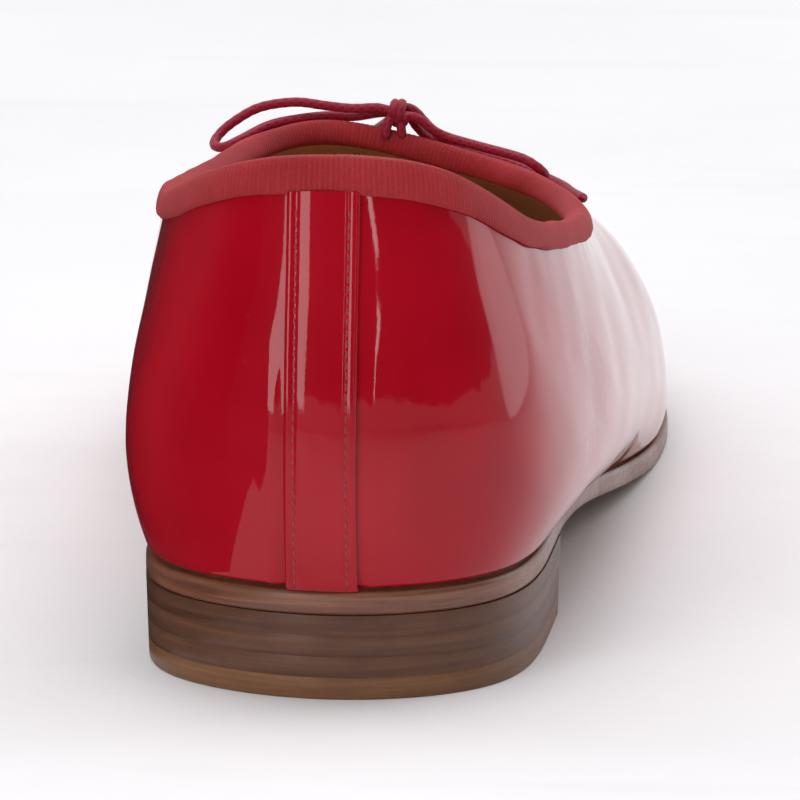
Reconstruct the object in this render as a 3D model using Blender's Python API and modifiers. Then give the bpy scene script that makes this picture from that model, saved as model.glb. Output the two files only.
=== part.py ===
"""Ballet flat for the right foot, standing empty on its sole.

The shoe points along +Y with its outer (lateral) side at +X, and the floor is z = 0. The pieces are built
in the frame of the last, whose y runs from the heel back to the toe tip, and an empty then carries them so
that the origin lies under the middle of the heel. All lengths are in metres.
"""
import math
from collections import namedtuple

import bmesh
import bpy
import numpy as np

# Driving sizes of the sole and heel
LENGTH = 0.250          # outsole, heel back to toe tip
BALL_WIDTH = 0.083      # outsole across the ball
WAIST_WIDTH = 0.058     # outsole across the waist
HEEL_WIDTH = 0.058      # outsole across the heel seat
OUTSOLE = 0.0034        # thickness of the leather outsole
LIFT_COUNT = 3
LIFT = 0.0030           # pitch of the leather lifts of the heel
TOP_PIECE = 0.0032      # pitch of the wearing layer under the lifts
HEEL_LENGTH = 0.054     # heel back to the breast
BREAST_HOLLOW = 0.003   # how far the breast is cut in
HEEL_TAPER = 0.0004     # how much smaller the heel is at the floor, all round
TOE_SPRING = 0.007      # the tread's height at the toe tip
TREAD_START = 0.63      # the forefoot's flat spot, as shares of the length
TREAD_END = 0.71

# Driving sizes of the upper
BACK_RISE = 0.0604      # heel seat to the leather edge at the heel back
SIDE_RISE = 0.0402      # sole to the edge at its lowest, beside the waist
INSTEP_RISE = 0.0476    # sole to the edge at its highest, at the throat
OPENING_WIDTH = 0.060
OPENING_LENGTH = 0.165  # heel back to the edge at the throat
WALL = 0.0020           # leather and lining together
SOLE_MARGIN = 0.0004    # how far the outsole stands out past the upper

# Driving sizes of the trim and the insole
BINDING_DROP = 0.0049   # how far the binding reaches down outside, at the heel back
BINDING_INSIDE = 0.0036
BINDING = 0.0008        # thickness of the binding
STRIP_WIDTH = 0.0103    # back strip
STRIP = 0.0008
STRIP_SHIFT = -0.0018   # the strip lies a little to the inner side of the heel's middle
INSOLE = 0.0025
CORD = 0.0015           # diameter of the bow's cord
KNOT = 0.0044           # width of the bow's knot
GAP = 0.0003            # left between neighbours

# Fineness of the faceted surfaces
COLUMNS = 88            # sections round the upper
LEVELS = 11             # points up each section
SOLE_ACROSS = 4         # strips across the outsole and insole
STRIP_ACROSS = 7        # points across the back strip
HEEL_ROUND = 41         # points round the heel, from breast corner to breast corner
BREAST_POINTS = 7       # points along the heel's hollow breast
KNOT_MERIDIANS = 14
KNOT_PARALLELS = 9
CORD_STEPS = 24         # steps between two of the cord's route points
SEARCH_STEPS = 60       # steps in looking for a level under the edge
BREAST_SEARCH = 4001    # points tried in looking for the breast's corners
SHARP_ANGLE = math.radians(40)
ROOF_ANGLES = (35, 90, 145)  # where the binding bends over the edge, in degrees

HEEL_STACK = LIFT_COUNT * LIFT + TOP_PIECE
ORIGIN_Y = HEEL_LENGTH / 2

RED = (0.42, 0.006, 0.014)
BINDING_RED = (0.33, 0.030, 0.040)
CORD_RED = (0.26, 0.008, 0.022)
TAN = (0.33, 0.19, 0.095)
SOLE_BROWN = (0.125, 0.055, 0.032)
TOP_PIECE_BROWN = (0.21, 0.105, 0.050)

# One row for each section of the last, from the heel back round by the outer side and the toe.
# foot: a point of the outsole's outline. top: the point of the opening's edge that the section runs up to,
# with its rise over the sole. low: how the wall leaves the sole, outwards and up. high: how it leaves the
# edge, outwards and down. tape: how far the binding reaches down outside.
Section = namedtuple("Section", "foot_x foot_y top_x top_y rise low_out low_up high_out high_down tape")

SECTIONS = (
    # heel back
    Section(0.00 * HEEL_WIDTH, 0.000 * LENGTH, 0.00 * OPENING_WIDTH, 0.036 * OPENING_LENGTH,
            1.00 * BACK_RISE, 0.125 * BACK_RISE, 0.36 * BACK_RISE, 0.060 * BACK_RISE, 0.34 * BACK_RISE,
            1.00 * BINDING_DROP),
    # heel corner, outer side
    Section(0.36 * HEEL_WIDTH, 0.036 * LENGTH, 0.25 * OPENING_WIDTH, 0.070 * OPENING_LENGTH,
            0.95 * BACK_RISE, 0.135 * BACK_RISE, 0.35 * BACK_RISE, 0.050 * BACK_RISE, 0.34 * BACK_RISE,
            1.10 * BINDING_DROP),
    # heel side, outer side
    Section(0.49 * HEEL_WIDTH, 0.160 * LENGTH, 0.42 * OPENING_WIDTH, 0.212 * OPENING_LENGTH,
            0.765 * BACK_RISE, 0.190 * BACK_RISE, 0.14 * BACK_RISE, 0.045 * BACK_RISE, 0.27 * BACK_RISE,
            0.84 * BINDING_DROP),
    # waist, outer side
    Section(0.55 * WAIST_WIDTH, 0.400 * LENGTH, 0.50 * OPENING_WIDTH, 0.520 * OPENING_LENGTH,
            0.99 * SIDE_RISE, 0.320 * SIDE_RISE, 0.12 * SIDE_RISE, 0.090 * SIDE_RISE, 0.32 * SIDE_RISE,
            0.68 * BINDING_DROP),
    # ball, outer side
    Section(0.475 * BALL_WIDTH, 0.650 * LENGTH, 0.42 * OPENING_WIDTH, 0.836 * OPENING_LENGTH,
            1.01 * SIDE_RISE, 0.075 * SIDE_RISE, 0.37 * SIDE_RISE, 0.240 * SIDE_RISE, 0.18 * SIDE_RISE,
            0.72 * BINDING_DROP),
    # toe side, outer side
    Section(0.45 * BALL_WIDTH, 0.790 * LENGTH, 0.29 * OPENING_WIDTH, 0.940 * OPENING_LENGTH,
            0.89 * INSTEP_RISE, 0.030 * INSTEP_RISE, 0.27 * INSTEP_RISE, 0.43 * INSTEP_RISE, 0.18 * INSTEP_RISE,
            0.80 * BINDING_DROP),
    # toe corner, outer side
    Section(0.27 * BALL_WIDTH, 0.942 * LENGTH, 0.14 * OPENING_WIDTH, 0.990 * OPENING_LENGTH,
            0.915 * INSTEP_RISE, 0.050 * INSTEP_RISE, 0.25 * INSTEP_RISE, 0.60 * INSTEP_RISE, 0.19 * INSTEP_RISE,
            0.85 * BINDING_DROP),
    # toe tip
    Section(-0.05 * BALL_WIDTH, 1.000 * LENGTH, -0.03 * OPENING_WIDTH, 1.003 * OPENING_LENGTH,
            0.965 * INSTEP_RISE, 0.050 * INSTEP_RISE, 0.25 * INSTEP_RISE, 0.66 * INSTEP_RISE, 0.21 * INSTEP_RISE,
            0.85 * BINDING_DROP),
    # toe corner, inner side
    Section(-0.31 * BALL_WIDTH, 0.952 * LENGTH, -0.21 * OPENING_WIDTH, 0.990 * OPENING_LENGTH,
            1.01 * INSTEP_RISE, 0.050 * INSTEP_RISE, 0.26 * INSTEP_RISE, 0.58 * INSTEP_RISE, 0.20 * INSTEP_RISE,
            0.85 * BINDING_DROP),
    # toe side, inner side
    Section(-0.43 * BALL_WIDTH, 0.845 * LENGTH, -0.36 * OPENING_WIDTH, 0.925 * OPENING_LENGTH,
            1.00 * INSTEP_RISE, 0.070 * INSTEP_RISE, 0.32 * INSTEP_RISE, 0.40 * INSTEP_RISE, 0.18 * INSTEP_RISE,
            0.80 * BINDING_DROP),
    # ball, inner side
    Section(-0.47 * BALL_WIDTH, 0.690 * LENGTH, -0.44 * OPENING_WIDTH, 0.790 * OPENING_LENGTH,
            1.15 * SIDE_RISE, 0.100 * SIDE_RISE, 0.44 * SIDE_RISE, 0.230 * SIDE_RISE, 0.27 * SIDE_RISE,
            0.75 * BINDING_DROP),
    # waist, inner side
    Section(-0.42 * WAIST_WIDTH, 0.372 * LENGTH, -0.47 * OPENING_WIDTH, 0.530 * OPENING_LENGTH,
            1.13 * SIDE_RISE, 0.160 * SIDE_RISE, 0.30 * SIDE_RISE, 0.100 * SIDE_RISE, 0.34 * SIDE_RISE,
            0.75 * BINDING_DROP),
    # heel side, inner side
    Section(-0.50 * HEEL_WIDTH, 0.128 * LENGTH, -0.43 * OPENING_WIDTH, 0.212 * OPENING_LENGTH,
            0.82 * BACK_RISE, 0.130 * BACK_RISE, 0.31 * BACK_RISE, 0.050 * BACK_RISE, 0.29 * BACK_RISE,
            0.80 * BINDING_DROP),
    # heel corner, inner side
    Section(-0.36 * HEEL_WIDTH, 0.036 * LENGTH, -0.25 * OPENING_WIDTH, 0.070 * OPENING_LENGTH,
            0.96 * BACK_RISE, 0.135 * BACK_RISE, 0.35 * BACK_RISE, 0.050 * BACK_RISE, 0.34 * BACK_RISE,
            0.98 * BINDING_DROP),
)
TOE_ROW = 7


class ClosedCurve:
    """A smooth closed curve through rows of values, read at t from 0 to 1."""

    def __init__(self, rows):
        rows = np.array(rows, float)
        steps = np.sqrt(np.linalg.norm(np.roll(rows, -1, axis=0)[:, :5] - rows[:, :5], axis=1))
        self.rows = rows
        self.steps = steps / steps.sum()
        self.knots = np.concatenate([[0.0], np.cumsum(self.steps)])
        self.bends = self.solve_bends()

    def solve_bends(self):
        """The second derivatives at the knots that make the pieces meet smoothly."""
        count = len(self.rows)
        system = np.zeros((count, count))
        slopes = (np.roll(self.rows, -1, axis=0) - self.rows) / self.steps[:, None]
        for i in range(count):
            before = self.steps[i - 1]
            after = self.steps[i]
            system[i, i - 1] += before
            system[i, i] += 2 * (before + after)
            system[i, (i + 1) % count] += after
        return np.linalg.solve(system, 6 * (slopes - np.roll(slopes, 1, axis=0)))

    def __call__(self, t):
        t = np.mod(np.atleast_1d(np.asarray(t, float)), 1.0)
        i = np.clip(np.searchsorted(self.knots, t, side="right") - 1, 0, len(self.rows) - 1)
        j = (i + 1) % len(self.rows)
        step = self.steps[i][:, None]
        b = (t - self.knots[i])[:, None] / step
        a = 1 - b
        curved = (a**3 - a) * self.bends[i] + (b**3 - b) * self.bends[j]
        return a * self.rows[i] + b * self.rows[j] + curved * step**2 / 6


def smooth_step(share):
    return share * share * (3 - 2 * share)


def tread_height(y):
    """The underside of the outsole at y: level over the heel, down the waist, flat, then up to the toe."""
    y = np.asarray(y, float)
    tread_start = TREAD_START * LENGTH
    tread_end = TREAD_END * LENGTH
    share = np.clip((y - HEEL_LENGTH) / (tread_start - HEEL_LENGTH), 0, 1)
    waist = HEEL_STACK * (1 - (share + smooth_step(share)) / 2)
    toe = TOE_SPRING * np.clip((y - tread_end) / (LENGTH - tread_end), 0, None) ** 2
    return np.where(y < tread_start, waist, toe)


def seat_height(y):
    """The top of the outsole at y."""
    return tread_height(y) + OUTSOLE


LAST = ClosedCurve(SECTIONS)


def outline_at(t, inset=0.0, nudge=1e-4):
    """Points of the outsole's outline in plan, moved inwards by inset."""
    t = np.atleast_1d(t)
    along = LAST(t + nudge)[:, :2] - LAST(t - nudge)[:, :2]
    outwards = np.stack([along[:, 1], -along[:, 0]], axis=1)
    outwards /= np.linalg.norm(outwards, axis=1)[:, None]
    return LAST(t)[:, :2] - inset * outwards, outwards


def edge_at(t, nudge=1e-4):
    """Points of the opening's edge, and the outward directions there in plan."""
    t = np.atleast_1d(t)
    along = LAST(t + nudge)[:, 2:4] - LAST(t - nudge)[:, 2:4]
    outwards = np.stack([along[:, 1], -along[:, 0]], axis=1)
    outwards /= np.linalg.norm(outwards, axis=1)[:, None]
    values = LAST(t)
    height = seat_height(values[:, 3]) + values[:, 4]
    return np.column_stack([values[:, 2:4], height]), outwards


def wall(t, v):
    """The upper's outer surface: t runs round the shoe, v from the sole (0) up to the opening's edge (1)."""
    t, v = np.broadcast_arrays(np.asarray(t, float), np.asarray(v, float))
    shape = t.shape
    t = t.ravel()
    v = v.ravel()[:, None]
    foot, foot_out = outline_at(t, SOLE_MARGIN)
    top, top_out = edge_at(t)
    values = LAST(t)
    bottom = np.column_stack([foot, seat_height(foot[:, 1]) + GAP])
    low = bottom + np.column_stack([foot_out * values[:, 5:6], values[:, 6]])
    high = top + np.column_stack([top_out * values[:, 7:8], -values[:, 8]])
    a = 1 - v
    points = a**3 * bottom + 3 * a**2 * v * low + 3 * a * v**2 * high + v**3 * top
    return points.reshape(shape + (3,))


def wall_normals(t, v, nudge=1e-3):
    """Outward unit normals of the upper's outer surface."""
    t, v = np.broadcast_arrays(np.asarray(t, float), np.asarray(v, float))
    round_it = wall(t + nudge, v) - wall(t - nudge, v)
    up = wall(t, np.minimum(v + nudge, 1)) - wall(t, np.maximum(v - nudge, 0))
    normals = np.cross(round_it, up)
    return normals / np.linalg.norm(normals, axis=-1)[..., None]


def at_depth(t, v, depth):
    """A point of the wall, moved inwards by depth (outwards if it is negative)."""
    return wall(t, v) - depth * wall_normals(t, v)


def level_below_edge(t, drop):
    """The v at which a section is drop below the opening's edge, measured along the wall."""
    v = np.linspace(0.5, 1.0, SEARCH_STEPS)
    lengths = np.linalg.norm(np.diff(wall(t, v), axis=0), axis=1)
    below = np.concatenate([np.cumsum(lengths[::-1])[::-1], [0.0]])
    return np.interp(drop, below[::-1], v[::-1])


def column_at_back(offset, v, nudge=1e-3):
    """The t of a point on the heel back, offset along the level line from the middle section."""
    speed = np.linalg.norm(wall(nudge, v) - wall(-nudge, v)) / (2 * nudge)
    return offset / speed


def material(name, colour, roughness):
    made = bpy.data.materials.new(name)
    made.use_nodes = True
    shader = made.node_tree.nodes["Principled BSDF"]
    shader.inputs["Base Color"].default_value = (*colour, 1.0)
    shader.inputs["Roughness"].default_value = roughness
    shader.inputs["Metallic"].default_value = 0.0
    return made


def finish_object(obj, shoe, coat):
    """Shades an object smooth, gives it its material and hangs it on the shoe's empty."""
    obj.data.materials.append(coat)
    if obj.type == "MESH":
        obj.data.shade_smooth()
        obj.data.set_sharp_from_angle(angle=SHARP_ANGLE)
    obj.parent = shoe["empty"]
    shoe["collection"].objects.link(obj)
    return obj


def mesh_from(name, vertices, faces):
    mesh = bpy.data.meshes.new(name)
    mesh.from_pydata([tuple(map(float, point)) for point in vertices], [], faces)
    mesh.update()
    return mesh


def object_from(name, vertices, faces):
    return bpy.data.objects.new(name, mesh_from(name, vertices, faces))


def tube_faces(rings, sides):
    """Faces between closed rings that themselves close into a ring."""
    faces = []
    for i in range(rings):
        for j in range(sides):
            i2 = (i + 1) % rings
            j2 = (j + 1) % sides
            faces.append((i * sides + j, i2 * sides + j, i2 * sides + j2, i * sides + j2))
    return faces


def make_upper(shoe):
    """One hollow wall from the sole to the opening's edge, open underneath and at the top."""
    t = np.arange(COLUMNS) / COLUMNS
    v = np.linspace(0.0, 1.0, LEVELS)
    points = wall(t[:, None], v[None, :]).reshape(-1, 3)
    faces = []
    for i in range(COLUMNS):
        for j in range(LEVELS - 1):
            i2 = (i + 1) % COLUMNS
            faces.append((i * LEVELS + j, i2 * LEVELS + j, i2 * LEVELS + j + 1, i * LEVELS + j + 1))
    upper = object_from("upper", points, faces)
    thickness = upper.modifiers.new("Wall", "SOLIDIFY")
    thickness.thickness = WALL
    thickness.offset = -1.0
    thickness.use_even_offset = True
    return finish_object(upper, shoe, material("red patent leather", RED, 0.08))


def binding_profile(t):
    """The section of the binding at t: over the edge, with a leg outside and a leg inside."""
    drop = Section(*LAST(t)[0]).tape
    out_low = level_below_edge(t, drop)
    out_mid = level_below_edge(t, drop / 2)
    in_low = level_below_edge(t, BINDING_INSIDE)
    edge = wall(t, 1.0)
    normal = wall_normals(t, 1.0)
    up = edge - wall(t, out_mid)
    up /= np.linalg.norm(up)
    near = GAP
    far = GAP + BINDING
    roof = [
        edge - normal * WALL / 2 + normal * (WALL / 2 + far) * math.cos(angle) + up * far * math.sin(angle)
        for angle in np.radians(ROOF_ANGLES)
    ]
    return [
        at_depth(t, out_low, -near),
        at_depth(t, out_low, -far),
        at_depth(t, out_mid, -far),
        *roof,
        at_depth(t, out_mid, WALL + far),
        at_depth(t, in_low, WALL + far),
        at_depth(t, in_low, WALL + near),
        edge - normal * (WALL + near) + up * near,
        edge + normal * near + up * near,
    ]


def make_binding(shoe):
    """The woven tape folded over the opening's edge, one closed ring."""
    profiles = [binding_profile(t) for t in np.arange(COLUMNS) / COLUMNS]
    sides = len(profiles[0])
    points = np.concatenate(profiles)
    binding = object_from("topline_binding", points, tube_faces(COLUMNS, sides))
    recalculate(binding)
    return finish_object(binding, shoe, material("red woven tape", BINDING_RED, 0.75))


def make_back_strip(shoe):
    """The strip sewn up the heel back, from the sole to just under the binding."""
    across = np.linspace(-0.5, 0.5, STRIP_ACROSS) * STRIP_WIDTH + STRIP_SHIFT
    heights = np.linspace(0.0, level_below_edge(0.0, BINDING_DROP + GAP), LEVELS)
    points = []
    for depth in (-GAP, -GAP - STRIP):
        for v in heights:
            for offset in across:
                points.append(at_depth(column_at_back(offset, v), v, depth))
    faces = slab_faces(len(heights), len(across))
    strip = object_from("back_strip", points, faces)
    recalculate(strip)
    return finish_object(strip, shoe, material("red patent strip", RED, 0.10))


def slab_faces(rows, columns):
    """Faces of a plate whose two sides are grids of rows by columns, one after the other."""
    faces = []
    layer = rows * columns
    for side in (0, layer):
        for i in range(rows - 1):
            for j in range(columns - 1):
                corner = side + i * columns + j
                faces.append((corner, corner + 1, corner + columns + 1, corner + columns))
    rim = list(range(columns))
    rim += [i * columns + columns - 1 for i in range(1, rows)]
    rim += [(rows - 1) * columns + i for i in range(columns - 2, -1, -1)]
    rim += [i * columns for i in range(rows - 2, 0, -1)]
    for a, b in zip(rim, rim[1:] + rim[:1]):
        faces.append((a, b, b + layer, a + layer))
    return faces


def recalculate(obj):
    """Turns the faces of a closed mesh outwards."""
    work = bmesh.new()
    work.from_mesh(obj.data)
    bmesh.ops.recalc_face_normals(work, faces=work.faces)
    work.to_mesh(obj.data)
    work.free()


def plate(name, inset, underside, thickness):
    """A curved plate over the outline, moved in by inset, as rungs from the outer side to the inner one."""
    half = COLUMNS // 2
    outer, _ = outline_at(LAST.knots[TOE_ROW] * np.arange(1, half) / half, inset)
    inner, _ = outline_at(1 - (1 - LAST.knots[TOE_ROW]) * np.arange(1, half) / half, inset)
    heel, _ = outline_at(0.0, inset)
    toe, _ = outline_at(LAST.knots[TOE_ROW], inset)
    share = np.linspace(0, 1, SOLE_ACROSS + 1)[None, :, None]
    rungs = outer[:, None, :] * (1 - share) + inner[:, None, :] * share
    plan = np.concatenate([heel, rungs.reshape(-1, 2), toe])
    low = np.column_stack([plan, underside(plan[:, 1])])
    high = low + [0, 0, thickness]
    count = len(plan)
    row = SOLE_ACROSS + 1
    faces = []
    for side in (0, count):
        for i in range(half - 2):
            for j in range(SOLE_ACROSS):
                corner = side + 1 + i * row + j
                faces.append((corner, corner + 1, corner + row + 1, corner + row))
        for j in range(SOLE_ACROSS):
            last = side + 1 + (half - 2) * row + j
            faces.append((side, side + 1 + j, side + 2 + j))
            faces.append((last, last + 1, side + count - 1))
    rim = [0] + [1 + i * row for i in range(half - 1)] + [count - 1]
    rim += [1 + i * row + SOLE_ACROSS for i in range(half - 2, -1, -1)]
    for a, b in zip(rim, rim[1:] + rim[:1]):
        faces.append((a, b, b + count, a + count))
    made = object_from(name, np.concatenate([low, high]), faces)
    recalculate(made)
    return made


def make_outsole(shoe):
    """The leather outsole, which runs back over the heel."""
    outsole = plate("outsole", 0.0, tread_height, OUTSOLE)
    return finish_object(outsole, shoe, material("brown sole leather", SOLE_BROWN, 0.45))


def make_insole(shoe):
    """The leather insole on the outsole, inside the upper."""
    insole = plate("insole", SOLE_MARGIN + WALL + 3 * GAP, lambda y: seat_height(y) + GAP, INSOLE)
    return finish_object(insole, shoe, material("tan insole leather", TAN, 0.6))


def heel_outline(inset):
    """The heel's outline in plan: the outsole's edge back of the breast, closed by a hollow breast."""
    t = np.linspace(-0.5, 0.5, BREAST_SEARCH)
    plan, _ = outline_at(t, 0.0)
    back = t[plan[:, 1] < HEEL_LENGTH]
    ring, _ = outline_at(np.linspace(back[0], back[-1], HEEL_ROUND), inset)
    share = np.linspace(0, 1, BREAST_POINTS + 2)[1:-1, None]
    breast = ring[-1] * (1 - share) + ring[0] * share
    breast[:, 1] -= BREAST_HOLLOW * 4 * (share * (1 - share))[:, 0]
    return np.concatenate([ring, breast])


def heel_layer(name, low, high):
    """One layer of the heel between two heights over the floor."""
    rings = []
    for height in (low, high):
        plan = heel_outline(HEEL_TAPER * (1 - height / HEEL_STACK))
        rings.append(np.column_stack([plan, np.full(len(plan), height)]))
    count = len(rings[0])
    faces = [tuple(range(count))[::-1], tuple(range(count, 2 * count))]
    for i in range(count):
        j = (i + 1) % count
        faces.append((i, j, j + count, i + count))
    layer = object_from(name, np.concatenate(rings), faces)
    recalculate(layer)
    return layer


def make_heel(shoe):
    """The wearing layer on the floor and the leather lifts stacked on it, up to the outsole."""
    lift_leather = material("brown stacked leather", SOLE_BROWN, 0.40)
    top_piece = heel_layer("heel_top_piece", 0.0, TOP_PIECE - GAP)
    finish_object(top_piece, shoe, material("brown rubber", TOP_PIECE_BROWN, 0.55))
    for number in range(LIFT_COUNT):
        low = TOP_PIECE + number * LIFT
        lift = heel_layer(f"heel_lift_{number + 1}", low, low + LIFT - GAP)
        finish_object(lift, shoe, lift_leather)


def through(points, spacing):
    """Evenly spaced points on a smooth curve through the given ones."""
    points = np.array(points, float)
    padded = np.concatenate([2 * points[:1] - points[1:2], points, 2 * points[-1:] - points[-2:-1]])
    dense = []
    for p0, p1, p2, p3 in zip(padded, padded[1:], padded[2:], padded[3:]):
        for s in np.linspace(0, 1, CORD_STEPS, endpoint=False):
            dense.append(0.5 * (2 * p1 + (p2 - p0) * s + (2 * p0 - 5 * p1 + 4 * p2 - p3) * s**2
                                + (3 * p1 - p0 - 3 * p2 + p3) * s**3))
    dense.append(points[-1])
    dense = np.array(dense)
    along = np.concatenate([[0], np.cumsum(np.linalg.norm(np.diff(dense, axis=0), axis=1))])
    at = np.linspace(0, along[-1], max(2, round(along[-1] / spacing) + 1))
    return np.stack([np.interp(at, along, dense[:, k]) for k in range(3)], axis=1)


# Routes of the bow's cord, as points from the knot's middle
CORD_ROUTES = {
    "bow_loop_outer": (
        (0.0027, -0.0003, -0.0006), (0.0050, 0.0003, -0.0025), (0.0073, 0.0009, -0.0038),
        (0.0109, -0.0003, -0.0046), (0.0142, -0.0021, -0.0051), (0.0174, -0.0046, -0.0054),
        (0.0198, -0.0068, -0.0057), (0.0214, -0.0076, -0.0064), (0.0229, -0.0066, -0.0079),
        (0.0226, -0.0039, -0.0090), (0.0202, -0.0002, -0.0087), (0.0169, 0.0030, -0.0082),
        (0.0126, 0.0052, -0.0075), (0.0080, 0.0056, -0.0060), (0.0046, 0.0036, -0.0028),
        (0.0023, 0.0015, 0.0002),
    ),
    "bow_loop_inner": (
        (-0.0026, -0.0004, 0.0008), (-0.0071, -0.0005, 0.0007), (-0.0113, -0.0010, 0.0012),
        (-0.0159, -0.0015, 0.0018), (-0.0213, -0.0025, 0.0011), (-0.0252, -0.0040, -0.0009),
        (-0.0274, -0.0052, -0.0027), (-0.0281, -0.0074, -0.0040), (-0.0264, -0.0092, -0.0040),
        (-0.0238, -0.0082, -0.0027), (-0.0198, -0.0049, -0.0009), (-0.0158, -0.0022, -0.0003),
        (-0.0112, 0.0006, -0.0002), (-0.0070, 0.0014, -0.0005), (-0.0024, 0.0015, -0.0002),
    ),
    "bow_tail_outer": (
        (0.0012, 0.0024, -0.0008), (0.0026, 0.0052, -0.0032), (0.0046, 0.0084, -0.0057),
        (0.0088, 0.0090, -0.0071), (0.0134, 0.0077, -0.0082), (0.0180, 0.0054, -0.0092),
        (0.0224, 0.0020, -0.0101), (0.0258, -0.0036, -0.0105), (0.0272, -0.0082, -0.0105),
        (0.0284, -0.0130, -0.0101), (0.0296, -0.0190, -0.0094),
    ),
    "bow_tail_inner": (
        (-0.0010, 0.0024, -0.0011), (-0.0052, 0.0114, -0.0053), (-0.0096, 0.0178, -0.0073),
        (-0.0111, 0.0259, -0.0103),
    ),
}


def cord_tube(name, route, shoe, coat):
    curve = bpy.data.curves.new(name, "CURVE")
    curve.dimensions = "3D"
    curve.bevel_depth = CORD / 2
    curve.bevel_resolution = 2
    curve.use_fill_caps = True
    points = through(route, 2 * CORD)
    spline = curve.splines.new("POLY")
    spline.points.add(len(points) - 1)
    for slot, point in zip(spline.points, points):
        slot.co = (*map(float, point), 1.0)
    return finish_object(bpy.data.objects.new(name, curve), shoe, coat)


def make_bow(shoe):
    """The bow of thin cord on the throat: a knot, two loops and two tails."""
    coat = material("red cord", CORD_RED, 0.5)
    edge = wall(LAST.knots[TOE_ROW], 1.0)
    middle = edge + np.array([0, WALL / 2, GAP + BINDING + GAP + KNOT / 2])
    bpy.ops.mesh.primitive_uv_sphere_add(segments=KNOT_MERIDIANS, ring_count=KNOT_PARALLELS, radius=KNOT / 2)
    knot = bpy.context.object
    knot.name = "bow_knot"
    knot.location = middle
    for holder in list(knot.users_collection):
        holder.objects.unlink(knot)
    finish_object(knot, shoe, coat)
    for name, route in CORD_ROUTES.items():
        cord_tube(name, middle + np.array(route), shoe, coat)


def main():
    for obj in list(bpy.data.objects):
        bpy.data.objects.remove(obj)
    collection = bpy.data.collections.new("ballet flat")
    bpy.context.scene.collection.children.link(collection)
    empty = bpy.data.objects.new("last", None)
    empty.location = (0.0, -ORIGIN_Y, 0.0)
    collection.objects.link(empty)
    shoe = {"collection": collection, "empty": empty}
    make_outsole(shoe)
    make_heel(shoe)
    make_insole(shoe)
    make_upper(shoe)
    make_back_strip(shoe)
    make_binding(shoe)
    make_bow(shoe)


main()
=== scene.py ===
"""Looks of the ballet flat for the right foot: patent upper, woven binding, cord bow, stacked heel.

Everything is in the row frame, in metres: +Y to the toe, +X to the outer side, +Z up, the floor at z = 0.
The sections of the last are those of the CAD source, whose y runs from the heel back, so each piece is made
on them and then moved back by ORIGIN_Y.
"""
import math
from collections import namedtuple

import bpy
import numpy as np
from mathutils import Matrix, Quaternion, Vector


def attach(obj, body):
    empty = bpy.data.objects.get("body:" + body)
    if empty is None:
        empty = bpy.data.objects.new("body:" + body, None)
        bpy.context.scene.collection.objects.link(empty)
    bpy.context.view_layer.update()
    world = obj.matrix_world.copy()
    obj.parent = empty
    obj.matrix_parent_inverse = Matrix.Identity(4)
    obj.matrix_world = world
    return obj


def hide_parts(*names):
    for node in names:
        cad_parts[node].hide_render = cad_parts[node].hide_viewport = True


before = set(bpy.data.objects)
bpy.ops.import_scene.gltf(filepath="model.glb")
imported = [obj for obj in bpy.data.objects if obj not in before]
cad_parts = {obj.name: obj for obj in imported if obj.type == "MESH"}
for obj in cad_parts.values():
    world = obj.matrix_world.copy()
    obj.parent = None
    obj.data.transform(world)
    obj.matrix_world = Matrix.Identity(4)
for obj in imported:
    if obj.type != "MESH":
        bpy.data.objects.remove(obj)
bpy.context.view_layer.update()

# Sizes of the shoe, as in the CAD source
LENGTH = 0.250
BALL_WIDTH = 0.083
WAIST_WIDTH = 0.058
HEEL_WIDTH = 0.058
OUTSOLE = 0.0034
LIFT_COUNT = 3
LIFT = 0.0030
TOP_PIECE = 0.0032
HEEL_LENGTH = 0.054
BREAST_HOLLOW = 0.003
HEEL_TAPER = 0.0004
TOE_SPRING = 0.007
TREAD_START = 0.63
TREAD_END = 0.71
BACK_RISE = 0.0604
SIDE_RISE = 0.0402
INSTEP_RISE = 0.0476
OPENING_WIDTH = 0.060
OPENING_LENGTH = 0.165
WALL = 0.0020
SOLE_MARGIN = 0.0004
BINDING_DROP = 0.0049
BINDING = 0.0008
STRIP_WIDTH = 0.0103
STRIP_SHIFT = -0.0018
CORD = 0.0015
KNOT = 0.0044
GAP = 0.0003

HEEL_STACK = LIFT_COUNT * LIFT + TOP_PIECE
ORIGIN_Y = HEEL_LENGTH / 2
MM = 0.001

Section = namedtuple("Section", "foot_x foot_y top_x top_y rise low_out low_up high_out high_down tape")


def section(width, rise, foot_x, foot_y, top_x, top_y, up, low_out, low_up, high_out, high_down, tape):
    """A section of the last, from shares of the named sizes that it follows."""
    return Section(foot_x * width, foot_y * LENGTH, top_x * OPENING_WIDTH, top_y * OPENING_LENGTH, up * rise,
                   low_out * rise, low_up * rise, high_out * rise, high_down * rise, tape * BINDING_DROP)


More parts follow.
